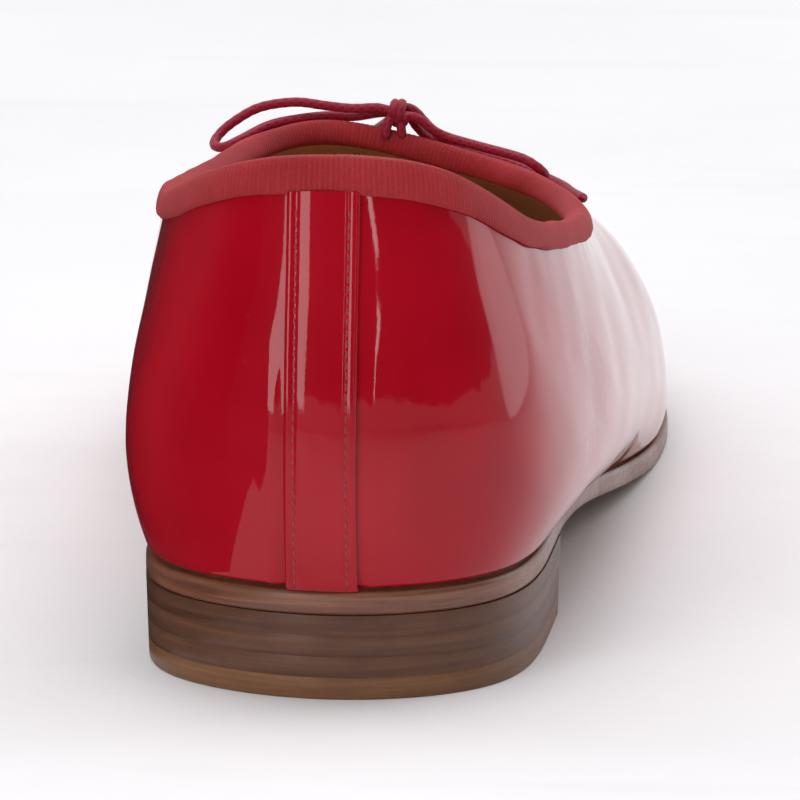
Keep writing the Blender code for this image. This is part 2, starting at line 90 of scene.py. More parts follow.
# Columns: width and rise that the row follows, then the shares, in the order that section names them
SECTIONS = (
    # heel back
    section(HEEL_WIDTH, BACK_RISE, 0.00, 0.000, 0.00, 0.036, 1.00, 0.125, 0.36, 0.060, 0.34, 1.00),
    # heel corner, outer side
    section(HEEL_WIDTH, BACK_RISE, 0.36, 0.036, 0.25, 0.070, 0.95, 0.135, 0.35, 0.050, 0.34, 1.10),
    # heel side, outer side
    section(HEEL_WIDTH, BACK_RISE, 0.49, 0.160, 0.42, 0.212, 0.765, 0.190, 0.14, 0.045, 0.27, 0.84),
    # waist, outer side
    section(WAIST_WIDTH, SIDE_RISE, 0.55, 0.400, 0.50, 0.520, 0.99, 0.320, 0.12, 0.090, 0.32, 0.68),
    # ball, outer side
    section(BALL_WIDTH, SIDE_RISE, 0.475, 0.650, 0.42, 0.836, 1.01, 0.075, 0.37, 0.240, 0.18, 0.72),
    # toe side, outer side
    section(BALL_WIDTH, INSTEP_RISE, 0.45, 0.790, 0.29, 0.940, 0.89, 0.030, 0.27, 0.43, 0.18, 0.80),
    # toe corner, outer side
    section(BALL_WIDTH, INSTEP_RISE, 0.27, 0.942, 0.14, 0.990, 0.915, 0.050, 0.25, 0.60, 0.19, 0.85),
    # toe tip
    section(BALL_WIDTH, INSTEP_RISE, -0.05, 1.000, -0.03, 1.003, 0.965, 0.050, 0.25, 0.66, 0.21, 0.85),
    # toe corner, inner side
    section(BALL_WIDTH, INSTEP_RISE, -0.31, 0.952, -0.21, 0.990, 1.01, 0.050, 0.26, 0.58, 0.20, 0.85),
    # toe side, inner side
    section(BALL_WIDTH, INSTEP_RISE, -0.43, 0.845, -0.36, 0.925, 1.00, 0.070, 0.32, 0.40, 0.18, 0.80),
    # ball, inner side
    section(BALL_WIDTH, SIDE_RISE, -0.47, 0.690, -0.44, 0.790, 1.15, 0.100, 0.44, 0.230, 0.27, 0.75),
    # waist, inner side
    section(WAIST_WIDTH, SIDE_RISE, -0.42, 0.372, -0.47, 0.530, 1.13, 0.160, 0.30, 0.100, 0.34, 0.75),
    # heel side, inner side
    section(HEEL_WIDTH, BACK_RISE, -0.50, 0.128, -0.43, 0.212, 0.82, 0.130, 0.31, 0.050, 0.29, 0.80),
    # heel corner, inner side
    section(HEEL_WIDTH, BACK_RISE, -0.36, 0.036, -0.25, 0.070, 0.96, 0.135, 0.35, 0.050, 0.34, 0.98),
)
TOE_ROW = 7


# The last

class ClosedCurve:
    """A smooth closed curve through rows of values, read at t from 0 to 1."""

    def __init__(self, rows):
        rows = np.array(rows, float)
        steps = np.sqrt(np.linalg.norm(np.roll(rows, -1, axis=0)[:, :5] - rows[:, :5], axis=1))
        self.rows = rows
        self.steps = steps / steps.sum()
        self.knots = np.concatenate([[0.0], np.cumsum(self.steps)])
        self.bends = self.solve_bends()

    def solve_bends(self):
        """The second derivatives at the knots that make the pieces meet smoothly."""
        count = len(self.rows)
        system = np.zeros((count, count))
        slopes = (np.roll(self.rows, -1, axis=0) - self.rows) / self.steps[:, None]
        for i in range(count):
            before = self.steps[i - 1]
            after = self.steps[i]
            system[i, i - 1] += before
            system[i, i] += 2 * (before + after)
            system[i, (i + 1) % count] += after
        return np.linalg.solve(system, 6 * (slopes - np.roll(slopes, 1, axis=0)))

    def __call__(self, t):
        t = np.mod(np.atleast_1d(np.asarray(t, float)), 1.0)
        i = np.clip(np.searchsorted(self.knots, t, side="right") - 1, 0, len(self.rows) - 1)
        j = (i + 1) % len(self.rows)
        step = self.steps[i][:, None]
        b = (t - self.knots[i])[:, None] / step
        a = 1 - b
        curved = (a**3 - a) * self.bends[i] + (b**3 - b) * self.bends[j]
        return a * self.rows[i] + b * self.rows[j] + curved * step**2 / 6


def smooth_step(share):
    share = np.clip(share, 0, 1)
    return share * share * (3 - 2 * share)


def tread_height(y):
    """The underside of the outsole at y."""
    y = np.asarray(y, float)
    tread_start = TREAD_START * LENGTH
    tread_end = TREAD_END * LENGTH
    share = np.clip((y - HEEL_LENGTH) / (tread_start - HEEL_LENGTH), 0, 1)
    waist = HEEL_STACK * (1 - (share + smooth_step(share)) / 2)
    toe = TOE_SPRING * np.clip((y - tread_end) / (LENGTH - tread_end), 0, None) ** 2
    return np.where(y < tread_start, waist, toe)


def seat_height(y):
    return tread_height(y) + OUTSOLE


LAST = ClosedCurve(SECTIONS)


def outwards_at(t, columns, nudge=1e-4):
    """Outward unit directions in plan of the closed line in those two columns of the last."""
    along = LAST(t + nudge)[:, columns] - LAST(t - nudge)[:, columns]
    outwards = np.stack([along[:, 1], -along[:, 0]], axis=1)
    return outwards / np.linalg.norm(outwards, axis=1)[:, None]


def outline_at(t, inset=0.0):
    """Points of the outsole's outline in plan, moved inwards by inset, and the outward directions there."""
    t = np.atleast_1d(t)
    outwards = outwards_at(t, slice(0, 2))
    return LAST(t)[:, :2] - inset * outwards, outwards


def edge_at(t):
    """Points of the opening's edge, and the outward directions there in plan."""
    t = np.atleast_1d(t)
    values = LAST(t)
    height = seat_height(values[:, 3]) + values[:, 4]
    return np.column_stack([values[:, 2:4], height]), outwards_at(t, slice(2, 4))


def wall(t, v):
    """The upper's outer surface: t runs round the shoe, v from the sole (0) to the opening's edge (1)."""
    t, v = np.broadcast_arrays(np.asarray(t, float), np.asarray(v, float))
    shape = t.shape
    t = t.ravel()
    v = v.ravel()[:, None]
    foot, foot_out = outline_at(t, SOLE_MARGIN)
    top, top_out = edge_at(t)
    values = LAST(t)
    bottom = np.column_stack([foot, seat_height(foot[:, 1]) + GAP])
    low = bottom + np.column_stack([foot_out * values[:, 5:6], values[:, 6]])
    high = top + np.column_stack([top_out * values[:, 7:8], -values[:, 8]])
    a = 1 - v
    points = a**3 * bottom + 3 * a**2 * v * low + 3 * a * v**2 * high + v**3 * top
    return points.reshape(shape + (3,))


def wall_normals(t, v, nudge=1e-3):
    """Outward unit normals of the upper's outer surface."""
    t, v = np.broadcast_arrays(np.asarray(t, float), np.asarray(v, float))
    round_it = wall(t + nudge, v) - wall(t - nudge, v)
    up = wall(t, np.minimum(v + nudge, 1)) - wall(t, np.maximum(v - nudge, 0))
    normals = np.cross(round_it, up)
    return normals / np.linalg.norm(normals, axis=-1)[..., None]


def at_depth(t, v, depth):
    """Points of the wall, moved inwards by depth (outwards where it is negative)."""
    return wall(t, v) - np.asarray(depth)[..., None] * wall_normals(t, v)


# Lengths up the wall and round the opening, read from tables

def run(points, axis=0):
    """The length along lines of points, from 0 at the first."""
    steps = np.linalg.norm(np.diff(points, axis=axis), axis=-1)
    return np.insert(np.cumsum(steps, axis=axis), 0, 0.0, axis=axis)


RULER_T = np.linspace(0, 1, 361)
RULER_V = np.linspace(0, 1, 161)
RULER_POINTS = wall(RULER_T[:, None], RULER_V[None, :])
RULER_UP = run(RULER_POINTS, axis=1)
RULER_EDGE = run(RULER_POINTS[:, -1])
EDGE_LENGTH = RULER_EDGE[-1]


def level_below_edge(t, drop):
    """The v at which the wall is drop below the opening's edge, for each t and its drop."""
    t, drop = np.broadcast_arrays(np.mod(t, 1.0), drop)
    at = t * (len(RULER_T) - 1)
    row = np.minimum(at.astype(int), len(RULER_T) - 2)

    def level(k, below):
        return np.interp(RULER_UP[k, -1] - below, RULER_UP[k], RULER_V)

    here = np.array([level(k, below) for k, below in zip(row, drop)])
    there = np.array([level(k + 1, below) for k, below in zip(row, drop)])
    return here + (there - here) * (at - row)


def tape_drop(t):
    """How far the binding reaches down outside, for each t."""
    return LAST(t)[:, 9]


def drop_at(t, v):
    """How far below the opening's edge the wall's points are, measured up it, for a grid of t by v."""
    below = RULER_UP[:, -1:] - RULER_UP
    by_v = np.array([np.interp(v, RULER_V, row) for row in below])
    return np.array([np.interp(np.mod(t, 1.0), RULER_T, by_v[:, j]) for j in range(len(v))]).T


def speed_at_back(v, nudge=1e-3):
    """The length along the level line for one unit of t, at the middle of the heel back."""
    return np.linalg.norm(wall(nudge, v) - wall(-nudge, v), axis=-1) / (2 * nudge)


def column_at_back(offset, v):
    """The t of a point on the heel back, offset along the level line from the middle section."""
    return offset / speed_at_back(v)


# Making meshes

def grid_of(rows, columns, close_rows=False, close_columns=False):
    """Quads of a grid, and for each corner its (row, column) before closing."""
    row_steps = np.arange(rows - (not close_rows))
    column_steps = np.arange(columns - (not close_columns))
    i, j = np.meshgrid(row_steps, column_steps, indexing="ij")
    i = i.ravel()
    j = j.ravel()
    corner_i = np.stack([i, i + 1, i + 1, i], axis=1)
    corner_j = np.stack([j, j, j + 1, j + 1], axis=1)
    faces = (corner_i % rows) * columns + corner_j % columns
    return faces, corner_i, corner_j


def finish_piece(obj, coat, replaced=()):
    """Gives a piece its material and slot, and hangs it on the shoe's body."""
    bpy.context.scene.collection.objects.link(obj)
    obj.data.materials.append(coat)
    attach(obj, "root")
    if replaced:
        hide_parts(*replaced)
    return obj


def mesh_piece(name, points, faces, coat, replaced=(), corner_uv=None, sharp=None):
    """A smooth-shaded mesh of points given in the last's frame."""
    mesh = bpy.data.meshes.new(name)
    points = np.asarray(points, float) - [0, ORIGIN_Y, 0]
    mesh.from_pydata(points.tolist(), [], [tuple(map(int, face)) for face in faces])
    if corner_uv is not None:
        layer = mesh.uv_layers.new(name="UVMap")
        layer.data.foreach_set("uv", np.asarray(corner_uv, np.float32).ravel())
    mesh.validate()
    mesh.update()
    mesh.shade_smooth()
    if sharp is not None:
        mesh.set_sharp_from_angle(angle=math.radians(sharp))
    return finish_piece(bpy.data.objects.new(name, mesh), coat, replaced)


def ring_faces(rings, sides):
    """Quads between the closed rings of a tube, and for each corner its (ring, side)."""
    return grid_of(rings, sides, close_columns=True)


def cap_faces(rings, sides):
    """The faces that close a tube's first and last ring."""
    return [tuple(range(sides))[::-1], tuple((rings - 1) * sides + np.arange(sides))]


def closed_grid(name, points, coat, replaced, inside_out=False, uv_across=None, uv_round=None,
                sharp=None):
    """A piece from a grid of points whose rows and columns both close.

    Its UVs are shares of the grid, unless uv_across gives V for each column, the closing one too, and
    uv_round the number of rows for one unit of U.
    """
    rows, columns = points.shape[:2]
    faces, corner_i, corner_j = grid_of(rows, columns, True, True)
    v = corner_j / columns if uv_across is None else uv_across[corner_j]
    uv = np.stack([corner_i / (uv_round or rows), v], axis=-1)
    if inside_out:
        faces, uv = faces[:, ::-1], uv[:, ::-1]
    return mesh_piece(name, points.reshape(-1, 3), faces, coat, replaced, uv, sharp)


# Materials

def new_material(name):
    made = bpy.data.materials.new(name)
    made.use_nodes = True
    tree = made.node_tree
    return made, tree, tree.nodes["Principled BSDF"]


def set_all(shader, values):
    """Sets a node's inputs. Another node's output is linked, and anything else is a constant."""
    for key, value in values.items():
        if isinstance(value, bpy.types.NodeSocket):
            shader.id_data.links.new(value, shader.inputs[key])
        else:
            shader.inputs[key].default_value = value


def node(tree, kind, inputs=None, **settings):
    made = tree.nodes.new(kind)
    for key, value in settings.items():
        setattr(made, key, value)
    set_all(made, inputs or {})
    return made


def place(tree, scale=(1, 1, 1), turn=(0, 0, 0)):
    """Object coordinates, scaled and turned."""
    here = node(tree, "ShaderNodeTexCoord")
    inputs = {"Vector": here.outputs["Object"], "Scale": scale, "Rotation": turn}
    return node(tree, "ShaderNodeMapping", inputs).outputs["Vector"]


def noise(tree, vector, scale, detail=3.0, roughness=0.5, distortion=0.0):
    inputs = {"Vector": vector, "Scale": scale, "Detail": detail, "Roughness": roughness,
              "Distortion": distortion}
    return node(tree, "ShaderNodeTexNoise", inputs).outputs["Fac"]


def spread(tree, value, low, high, to_low=0.0, to_high=1.0):
    """Maps low..high of a value to to_low..to_high, clamped."""
    inputs = {"Value": value, "From Min": low, "From Max": high, "To Min": to_low, "To Max": to_high}
    return node(tree, "ShaderNodeMapRange", inputs).outputs["Result"]


def calculate(tree, operation, a, b=0.0):
    return node(tree, "ShaderNodeMath", {0: a, 1: b}, operation=operation).outputs[0]


def times(tree, a, b):
    return calculate(tree, "MULTIPLY", a, b)


def plus(tree, a, b):
    return calculate(tree, "ADD", a, b)


def split(tree, vector):
    return node(tree, "ShaderNodeSeparateXYZ", {"Vector": vector}).outputs


def mix(tree, share, a, b):
    made = node(tree, "ShaderNodeMix", data_type="RGBA")
    for socket, value in (("Factor_Float", share), ("A_Color", a), ("B_Color", b)):
        target = next(s for s in made.inputs if s.identifier == socket)
        if isinstance(value, bpy.types.NodeSocket):
            tree.links.new(value, target)
        else:
            target.default_value = (*value, 1.0) if isinstance(value, tuple) else value
    return next(s for s in made.outputs if s.identifier == "Result_Color")


def bump(tree, height, distance, strength=1.0, under=None):
    inputs = {"Height": height, "Distance": distance, "Strength": strength}
    if under is not None:
        inputs["Normal"] = under
    return node(tree, "ShaderNodeBump", inputs).outputs["Normal"]


def patent(name, deep, bright):
    """Lacquered leather: a red body with hairline scuffs under a clear coat with faint waves and pits."""
    made, tree, shader = new_material(name)
    here = place(tree)
    cloud = noise(tree, here, 55.0, 2.0)
    body = mix(tree, spread(tree, cloud, 0.35, 0.68), deep, bright)
    hairs = noise(tree, place(tree, (900, 90, 340), (0.3, 0.2, 0.9)), 1.0, 2.0, 0.6)
    scuff = spread(tree, hairs, 0.70, 0.80)
    worn = times(tree, scuff, spread(tree, noise(tree, here, 38.0, 2.0), 0.52, 0.68))
    body = mix(tree, times(tree, worn, 0.16), body, (0.62, 0.20, 0.20))
    waves = bump(tree, noise(tree, here, 150.0, 1.0), 0.00004, 0.40)
    pits = bump(tree, noise(tree, here, 2600.0, 2.0), 0.000006, 0.5, waves)
    set_all(shader, {"Base Color": body, "Roughness": spread(tree, worn, 0, 1, 0.34, 0.62),
                     "Normal": bump(tree, worn, 0.00001, 0.6, pits), "Specular IOR Level": 0.03,
                     "Coat Weight": 1.0, "Coat Roughness": 0.035, "Coat IOR": 1.38, "Coat Normal": pits})
    return made


TAPE_VALLEY_SHADE = 0.24       # how much painted shade darkens the tape between its ribs
TAPE_THREAD = 0.16       # pitch of the threads across a rib, in millimetres


def tape_material(name):
    """Grosgrain tape: U counts the ribs round the opening, V is the distance across it in millimetres."""
    made, tree, shader = new_material(name)
    parts = split(tree, node(tree, "ShaderNodeUVMap").outputs["UV"])
    rib = calculate(tree, "COSINE", times(tree, parts["X"], 2 * math.pi))
    crown = spread(tree, rib, -1, 1)
    turn = times(tree, parts["Y"], 2 * math.pi / TAPE_THREAD)
    odd = calculate(tree, "PINGPONG", parts["X"], 1.0)
    thread = calculate(tree, "SINE", turn)
    shifted = calculate(tree, "SINE", plus(tree, turn, times(tree, odd, math.pi)))
    warp = times(tree, plus(tree, thread, shifted), 0.25)
    here = place(tree)
    cloud = noise(tree, here, 90.0, 3.0)
    fibre = noise(tree, here, 3800.0, 3.0, 0.7)
    red = mix(tree, spread(tree, cloud, 0.3, 0.7), (0.330, 0.016, 0.020), (0.430, 0.028, 0.034))
    # painted shade: the tape is darkened between its ribs, where the grooves lie in shade, more in some
    # stretches than in others
    valley_shade = times(tree, calculate(tree, "SUBTRACT", 1.0, crown), TAPE_VALLEY_SHADE)
    valley_shade = times(tree, valley_shade, spread(tree, noise(tree, here, 42.0, 2.0), 0.36, 0.60, 0.25, 1.3))
    red = mix(tree, valley_shade, red, (0.15, 0.006, 0.010))
    red = mix(tree, times(tree, spread(tree, fibre, 0.5, 0.75), 0.30), red, (0.55, 0.09, 0.10))
    threads = bump(tree, warp, 0.00005, 0.7)
    fibres = bump(tree, fibre, 0.00004, 0.6, threads)
    set_all(shader, {"Base Color": red, "Roughness": 0.60, "Normal": fibres, "Specular IOR Level": 0.16,
                     "Sheen Weight": 0.08, "Sheen Roughness": 0.45, "Sheen Tint": (1.0, 0.62, 0.62, 1.0)})
    return made


CORD_STRANDS = 8
BRAID_PITCH = 1.6        # in millimetres


def cord_material(name, dark, light):
    """Fine braided cord, painted darker between its strands as shade: U runs round it from 0 to 1, V is the
    length in millimetres.
    """
    made, tree, shader = new_material(name)
    parts = split(tree, node(tree, "ShaderNodeUVMap").outputs["UV"])
    turn = times(tree, parts["X"], math.pi * CORD_STRANDS)
    lead = times(tree, parts["Y"], 2 * math.pi / BRAID_PITCH)
    one = calculate(tree, "SINE", plus(tree, turn, lead))
    other = calculate(tree, "SINE", calculate(tree, "SUBTRACT", turn, lead))
    braid = spread(tree, calculate(tree, "MAXIMUM", one, other), -1, 1)
    here = place(tree)
    fibre = noise(tree, here, 4200.0, 3.0, 0.65)
    # painted shade: the cord's colour runs from dark between its strands to light on their crowns, following
    # the braid's relief
    red = mix(tree, braid, dark, light)
    red = mix(tree, times(tree, spread(tree, fibre, 0.45, 0.75), 0.25), red, (0.42, 0.05, 0.07))
    threads = bump(tree, braid, 0.00010, 0.8)
    fibres = bump(tree, fibre, 0.00003, 0.5, threads)
    set_all(shader, {"Base Color": red, "Roughness": 0.58, "Normal": fibres, "Specular IOR Level": 0.4,
                     "Sheen Weight": 0.05, "Sheen Roughness": 0.4})
    return made


def thread_material(name):
    """Twisted sewing thread, a little lighter than the lacquer, painted darker in the grooves of its twist
    as shade.
    """
    made, tree, shader = new_material(name)
    inputs = {"Vector": place(tree, (1, 1, 1), (0.5, 0.4, 0.2)), "Scale": 1400.0, "Distortion": 1.5,
              "Detail": 1.0}
    twist = node(tree, "ShaderNodeTexWave", inputs).outputs["Fac"]
    # painted shade: the thread's colour is dark in the grooves of its twist and light on its crests
    red = mix(tree, twist, (0.20, 0.006, 0.012), (0.50, 0.045, 0.060))
    set_all(shader, {"Base Color": red, "Roughness": 0.42, "Normal": bump(tree, twist, 0.00005, 0.8),
                     "Sheen Weight": 0.2})
    return made


def layered_leather(name, dark, light, seed, roughness):
    """Sanded and waxed leather edge: fibres run level, with darker and lighter bands."""
    made, tree, shader = new_material(name)
    streaks = noise(tree, place(tree, (42, 42, 1500), (0, 0, seed)), 1.0, 4.0, 0.6, 0.4)
    bands = noise(tree, place(tree, (10, 10, 420), (0, 0, seed + 1.3)), 1.0, 2.0, 0.5, 0.3)
    blot = noise(tree, place(tree, (1, 1, 2.2)), 120.0, 3.0, 0.6)
    grain = noise(tree, place(tree), 2300.0, 3.0, 0.7)
    share = plus(tree, times(tree, streaks, 0.45), times(tree, bands, 0.55))
    brown = mix(tree, spread(tree, share, 0.36, 0.64), dark, light)
    brown = mix(tree, spread(tree, blot, 0.45, 0.75, 0.0, 0.45), brown, tuple(0.55 * c for c in dark))
    rough = spread(tree, grain, 0.3, 0.7, roughness - 0.08, roughness + 0.12)
    grains = bump(tree, grain, 0.00003, 0.5, bump(tree, streaks, 0.00010, 0.6))
    set_all(shader, {"Base Color": brown, "Roughness": rough, "Normal": grains, "Specular IOR Level": 0.3,
                     "Coat Weight": 0.15, "Coat Roughness": 0.30})
    return made


def sole_material(name):
    """Outsole leather: a waxed brown edge, and a paler, scuffed tread under the ball and toe."""
    made, tree, shader = new_material(name)
    here = place(tree)
    normal = node(tree, "ShaderNodeNewGeometry").outputs["True Normal"]
    under = spread(tree, split(tree, normal)["Z"], -0.5, -0.9)
    streaks = noise(tree, place(tree, (60, 60, 1300)), 1.0, 4.0, 0.6, 0.4)
    edge = mix(tree, spread(tree, streaks, 0.35, 0.65), (0.125, 0.040, 0.019), (0.235, 0.082, 0.039))
    mottle = noise(tree, here, 60.0, 5.0, 0.6)
    rubs = noise(tree, place(tree, (300, 40, 40), (0, 0, 0.25)), 1.0, 4.0, 0.7)
    tread = mix(tree, spread(tree, mottle, 0.35, 0.7), (0.26, 0.135, 0.066), (0.40, 0.235, 0.125))
    tread = mix(tree, spread(tree, rubs, 0.52, 0.72, 0.0, 0.6), tread, (0.15, 0.085, 0.050))
    rough = plus(tree, spread(tree, rubs, 0.4, 0.7, 0.38, 0.60), times(tree, under, 0.08))
    grain = noise(tree, here, 1900.0, 4.0, 0.7)
    lines = bump(tree, rubs, 0.00008, 0.5)
    set_all(shader, {"Base Color": mix(tree, under, edge, tread), "Roughness": rough,
                     "Normal": bump(tree, grain, 0.00004, 0.5, lines), "Coat Weight": 0.42,
                     "Coat Roughness": 0.26})
    return made


def leather(name, dark, light, roughness, worn=(0.5, 0.34, 0.2)):
    """Soft leather with pores, fine creases and rubbed patches."""
    made, tree, shader = new_material(name)
    here = place(tree)
    pores = node(tree, "ShaderNodeTexVoronoi", {"Vector": here, "Scale": 1500.0, "Randomness": 1.0})
    creases = noise(tree, here, 420.0, 4.0, 0.65, 0.6)
    cloud = noise(tree, here, 48.0, 4.0, 0.6)
    brown = mix(tree, spread(tree, cloud, 0.32, 0.68), dark, light)
    brown = mix(tree, spread(tree, noise(tree, here, 24.0, 3.0), 0.52, 0.72, 0.0, 0.35), brown, worn)
    brown = mix(tree, spread(tree, pores.outputs["Distance"], 0.35, 0.05, 0.0, 0.35), brown,
                tuple(0.5 * c for c in dark))
    rough = spread(tree, creases, 0.3, 0.7, roughness - 0.08, roughness + 0.08)
    pits = bump(tree, pores.outputs["Distance"], 0.00006, 0.5)
    folds = bump(tree, creases, 0.00008, 0.5, pits)
    set_all(shader, {"Base Color": brown, "Roughness": rough, "Normal": folds})
    return made


DEEP_RED = (0.345, 0.0010, 0.0090)
BRIGHT_RED = (0.408, 0.0020, 0.0130)
PATENT = patent("red patent leather", DEEP_RED, BRIGHT_RED)
PATENT_STRIP = patent("red patent strip", DEEP_RED, BRIGHT_RED)
TAPE = tape_material("red grosgrain tape")
CORD_COAT = cord_material("dark red cord", (0.200, 0.002, 0.016), (0.340, 0.006, 0.032))
THREAD = thread_material("red thread")
LINING = leather("olive tan lining", (0.66, 0.360, 0.205), (0.80, 0.475, 0.280), 0.62)
INSOLE_COAT = leather("tan insole leather", (0.40, 0.235, 0.115), (0.52, 0.320, 0.170), 0.58,
                      worn=(0.58, 0.39, 0.23))
SOLE_COAT = sole_material("brown sole leather")
LIFT_COATS = [
    layered_leather("stacked leather 1", (0.085, 0.034, 0.018), (0.160, 0.070, 0.036), 0.0, 0.40),
    layered_leather("stacked leather 2", (0.080, 0.032, 0.017), (0.150, 0.064, 0.033), 2.1, 0.38),
    layered_leather("stacked leather 3", (0.075, 0.028, 0.015), (0.145, 0.058, 0.030), 4.4, 0.40),
]
TOP_PIECE_COAT = layered_leather("amber top piece", (0.150, 0.062, 0.024), (0.260, 0.120, 0.050), 3.3, 0.46)


# Camera, at the photograph's angle to the shoe

CAMERA_PLACE = (0.10174, -1.45500, 0.35017)
CAMERA_YAW = math.radians(-3.707)
CAMERA_PITCH = math.radians(12.104)
FOCAL_MM = 472.5


def make_camera():
    data = bpy.data.cameras.new("camera")
    data.lens = FOCAL_MM
    data.sensor_width = 36.0
    data.clip_start = 0.01
    data.clip_end = 60.0
    camera = bpy.data.objects.new("camera", data)
    camera.location = CAMERA_PLACE
    ahead = Vector((math.sin(CAMERA_YAW) * math.cos(CAMERA_PITCH),
                    math.cos(CAMERA_YAW) * math.cos(CAMERA_PITCH), -math.sin(CAMERA_PITCH)))
    camera.rotation_mode = "QUATERNION"
    camera.rotation_quaternion = ahead.to_track_quat("-Z", "Y")
    bpy.context.scene.collection.objects.link(camera)
    bpy.context.scene.camera = camera


make_camera()


# Cords of the bow

# Routes of the CAD source's cord nodes, as points from the knot's middle, in millimetres
LOOP_OUTER = (
    (2.7, -0.3, -0.6), (5, 0.3, -2.5), (7.3, 0.9, -3.8), (10.9, -0.3, -4.6), (14.2, -2.1, -5.1),
    (17.4, -4.6, -5.4), (19.8, -6.8, -5.7), (21.4, -7.6, -6.4), (22.9, -6.6, -7.9), (22.6, -3.9, -9),
    (20.2, -0.2, -8.7), (16.9, 3, -8.2), (12.6, 5.2, -7.5), (8, 5.6, -6), (4.6, 3.6, -2.8), (2.3, 1.5, 0.2),
)
LOOP_INNER = (
    (-2.6, -0.4, 0.8), (-7.1, -0.5, 0.7), (-11.3, -1, 1.2), (-15.9, -1.5, 1.8), (-21.3, -2.5, 1.1),
    (-25.2, -4, -0.9), (-27.4, -5.2, -2.7), (-28.1, -7.4, -4), (-26.4, -9.2, -4), (-23.8, -8.2, -2.9),
    (-19.8, -4.9, -1.3), (-15.8, -2.2, -0.8), (-11.2, 0.6, -0.7), (-7, 1.4, -0.9), (-2.4, 1.5, -0.2),
)
TAIL_OUTER = (
    (1.2, 2.4, -0.8), (2.6, 5.2, -3.2), (4.6, 8.4, -5.7), (8.8, 9, -7.1), (13.4, 7.7, -8.2),
    (18, 5.4, -9.2), (22.4, 2, -10.1), (25.8, -3.6, -10.5), (27.2, -8.2, -10.5), (28.4, -13, -10.1),
    (29.6, -19, -9.4),
)
TAIL_INNER = (
    (-1, 2.4, -1.1), (-5.2, 11.4, -5.3), (-9.6, 17.8, -7.3), (-11.1, 25.9, -10.3),
)
# Out of the binding's roof and up into the knot, and a turn inside it
RISE_LEFT = ((-1.9, -2, -4), (-1.8, -1.9, -2.4), (-1, -1.2, -0.5))
KNOT_TURN = ((0.4, 1.4, 0.6),)
RISE_RIGHT = ((0.7, -1.2, -4), (0.5, -1.2, -2.4), (0.1, -0.7, -0.6))
CORD_SIDES = 16
CORD_STEP = 0.00035


def through(points, spacing, steps=24):
    """Evenly spaced points on a smooth curve through the given ones."""
    points = np.array(points, float)
    padded = np.concatenate([2 * points[:1] - points[1:2], points, 2 * points[-1:] - points[-2:-1]])
    dense = []
    for p0, p1, p2, p3 in zip(padded, padded[1:], padded[2:], padded[3:]):
        for s in np.linspace(0, 1, steps, endpoint=False):
            dense.append(0.5 * (2 * p1 + (p2 - p0) * s + (2 * p0 - 5 * p1 + 4 * p2 - p3) * s**2
                                + (3 * p1 - p0 - 3 * p2 + p3) * s**3))
    dense.append(points[-1])
    dense = np.array(dense)
    along = run(dense)
    at = np.linspace(0, along[-1], max(2, round(along[-1] / spacing) + 1))
    return np.stack([np.interp(at, along, dense[:, k]) for k in range(3)], axis=1)


def soften(points, passes):
    for _ in range(passes):
        inner = (points[:-2] + 2 * points[1:-1] + points[2:]) / 4
        points = np.concatenate([points[:1], inner, points[-1:]])
    return points


BRAID_RELIEF = 0.035     # of the cord's radius


def tube(points, radius, sides, braid=0.0):
    """A round tube along the points, its faces and its UVs. The ends close in a dome."""
    tangents = np.gradient(points, axis=0)
    tangents /= np.linalg.norm(tangents, axis=1)[:, None]
    across = np.cross(tangents[0], [0.3, 0.2, 0.9])
    across /= np.linalg.norm(across)
    along = run(points)
    angles = np.linspace(0, 2 * math.pi, sides, endpoint=False)
    rings = []
    for i, (point, tangent) in enumerate(zip(points, tangents)):
        across = across - tangent * (across @ tangent)
        across /= np.linalg.norm(across)
        other = np.cross(tangent, across)
        from_end = min(along[i], along[-1] - along[i])
        dome = math.sqrt(max(0.0, 1 - max(0.0, 1 - from_end / radius) ** 2))
        turn = angles * CORD_STRANDS / 2
        lead = 2 * math.pi * along[i] / (BRAID_PITCH * MM)
        weave = np.maximum(np.sin(turn + lead), np.sin(turn - lead))
        size = radius * max(dome, 0.06) * (1 + braid * (weave - 0.5))
        round_it = np.cos(angles)[:, None] * across + np.sin(angles)[:, None] * other
        rings.append(point + size[:, None] * round_it)
    faces, corner_i, corner_j = ring_faces(len(rings), sides)
    uv = np.stack([corner_j / sides, along[corner_i] / MM], axis=-1)
    all_faces = [*map(tuple, faces), *cap_faces(len(rings), sides)]
    return np.concatenate(rings), all_faces, np.concatenate([uv.reshape(-1, 2), np.zeros((2 * sides, 2))])


def knot_middle():
    edge = wall(LAST.knots[TOE_ROW], 1.0)
    return edge + np.array([0, WALL / 2, GAP + BINDING + GAP + KNOT / 2])


def make_lace(name, routes, replaced):
    """One end of the drawstring: out of the binding, round its loop, through the knot and out as a tail."""
    route = knot_middle() + np.concatenate([np.array(part) for part in routes]) * MM
    line = soften(through(route, CORD_STEP), 6)
    points, faces, uv = tube(line, CORD / 2, CORD_SIDES, BRAID_RELIEF)
    lace = mesh_piece(name, points, faces, CORD_COAT, replaced, uv)
    path = line[np.linspace(0, len(line) - 1, 120).round().astype(int)] - [0, ORIGIN_Y, 0]
    tuple(path[0])
    round(float(run(line)[-1]), 4)


KNOT_WRAP = 0.00132      # the wrapping strand's distance from the knot's axis
KNOT_SPREAD = 0.00165    # how far its turns spread along that axis
KNOT_TURNS = (-0.20, 2.05)
KNOT_TUCK = 0.25         # the part of a turn over which each end tucks in
KNOT_FAT = 1.04          # the strand's thickness in the knot, as a share of the cord's


